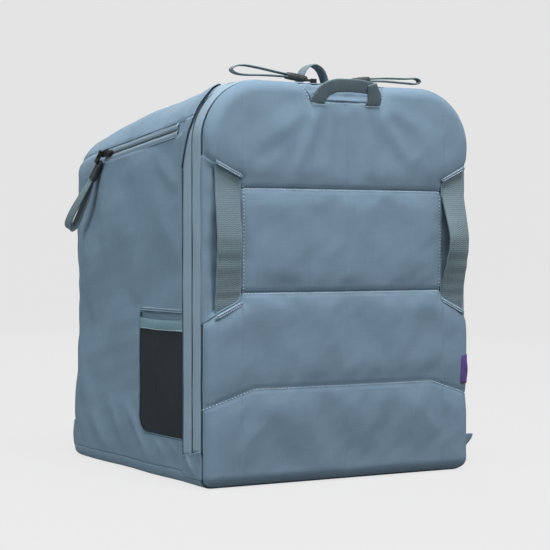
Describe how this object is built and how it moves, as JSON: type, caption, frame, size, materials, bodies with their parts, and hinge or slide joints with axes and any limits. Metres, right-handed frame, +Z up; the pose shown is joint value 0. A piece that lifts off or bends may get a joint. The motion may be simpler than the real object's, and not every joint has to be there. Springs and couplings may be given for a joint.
{
  "type": "ski boot bag",
  "caption": "Upright padded ski boot carrier with a sloping top, a quilted zip-off front panel, webbing handles, a side pocket and a rear harness.",
  "frame": {"origin": "centre of the flat base, on the ground", "axes": "+Z up; the quilted front panel faces -Y and the shoulder straps are on the +Y face; +X is to the right when facing the front panel"},
  "size_m": [0.3903, 0.4274, 0.4766],
  "materials": {
    "shell_fabric": "blue-grey woven polyester",
    "base_fabric": "darker coated woven base",
    "foam": "closed-cell foam, always covered",
    "lining": "plain grey lining",
    "board": "stiffener sheet, always covered",
    "zip_tape": "woven tape over a reversed coil",
    "zip_coil": "nylon coil",
    "pocket_mesh": "dark stretch mesh",
    "webbing": "flat woven webbing",
    "thread": "satin stitching",
    "slider_metal": "black cast zinc",
    "grip_plastic": "moulded black plastic",
    "strap_pad": "padded woven fabric",
    "label": "plain woven label with no mark"
  },
  "bodies": {
    "bag_body": {"base_board": "board", "base_fabric": "base_fabric", "base_foam": "foam", "body_haul_loop": "webbing", "body_lining": "lining", "body_zip_coil": "zip_coil", "body_zip_tape": "zip_tape", "hinge_binding": "shell_fabric", "left_ladder_lock": "grip_plastic", "left_shoulder_strap": "strap_pad", "left_side_fabric": "shell_fabric", "left_side_foam": "foam", "left_strap_webbing": "webbing", "left_zip_end_tab": "shell_fabric", "rear_fabric": "shell_fabric", "rear_foam": "foam", "right_ladder_lock": "grip_plastic", "right_shoulder_strap": "strap_pad", "right_side_fabric": "shell_fabric", "right_side_foam": "foam", "right_strap_webbing": "webbing", "right_zip_end_tab": "shell_fabric", "side_pocket_backing": "lining", "side_pocket_band": "webbing", "side_pocket_mesh": "pocket_mesh", "side_zip_coil": "zip_coil", "side_zip_tape": "zip_tape", "strap_wings": "shell_fabric", "strap_yoke": "shell_fabric", "top_fabric": "shell_fabric", "top_foam": "foam"},
    "door": {"door_upper_fabric": "shell_fabric", "door_middle_fabric": "shell_fabric", "door_lower_fabric": "shell_fabric", "left_handle_inset": "shell_fabric", "right_handle_inset": "shell_fabric", "top_handle_inset": "shell_fabric", "door_foam": "foam", "door_frame_sheet": "board", "door_lining": "lining", "door_zip_tape": "zip_tape", "door_zip_coil": "zip_coil", "left_grab_handle": "webbing", "right_grab_handle": "webbing", "handle_bar_tacks": "thread", "woven_label": "label"},
    "door_haul_handle": {"door_haul_handle": "webbing"},
    "left_main_slider": {"left_main_slider": "slider_metal"},
    "left_main_pull": {"left_main_pull_link": "slider_metal", "left_main_pull_grip": "grip_plastic", "left_main_pull_loop": "webbing"},
    "right_main_slider": {"right_main_slider": "slider_metal"},
    "right_main_pull": {"right_main_pull_link": "slider_metal", "right_main_pull_grip": "grip_plastic", "right_main_pull_loop": "webbing"},
    "side_slider": {"side_slider": "slider_metal"},
    "side_pull": {"side_pull_link": "slider_metal", "side_pull_grip": "grip_plastic", "side_pull_loop": "webbing"}
  },
  "joints": [
    {"name": "door_hinge", "type": "hinge", "parent": "bag_body", "child": "door", "pos_m": [0, -0.196, 0.006], "axis": [1, 0, 0], "range_deg": [0, 90]},
    {"name": "door_haul_handle_hinge", "type": "hinge", "parent": "door", "child": "door_haul_handle", "pos_m": [0, -0.2033, 0.4305], "axis": [1, 0, 0], "range_deg": [-20, 140]},
    {"name": "left_main_slider_slide", "type": "slide", "parent": "bag_body", "child": "left_main_slider", "axis": [-1, 0, 0], "range_m": [0, 0.09]},
    {"name": "right_main_slider_slide", "type": "slide", "parent": "bag_body", "child": "right_main_slider", "axis": [1, 0, 0], "range_m": [0, 0.09]},
    {"name": "left_main_pull_hinge", "type": "hinge", "parent": "left_main_slider", "child": "left_main_pull", "pos_m": [-0.019, -0.1625, 0.4554], "axis": [0, 1, 0], "range_deg": [0, 88]},
    {"name": "right_main_pull_hinge", "type": "hinge", "parent": "right_main_slider", "child": "right_main_pull", "pos_m": [0.019, -0.1625, 0.4554], "axis": [0, -1, 0], "range_deg": [0, 88]},
    {"name": "side_slider_slide", "type": "slide", "parent": "bag_body", "child": "side_slider", "axis": [0.0168, -0.9953, 0.0955], "range_m": [0, 0.165]},
    {"name": "side_pull_hinge", "type": "hinge", "parent": "side_slider", "child": "side_pull", "pos_m": [-0.18331, 0.06913, 0.37909], "axis": [0.0827, 0.8794, 0.4689], "range_deg": [-4, 80]}
  ]
}
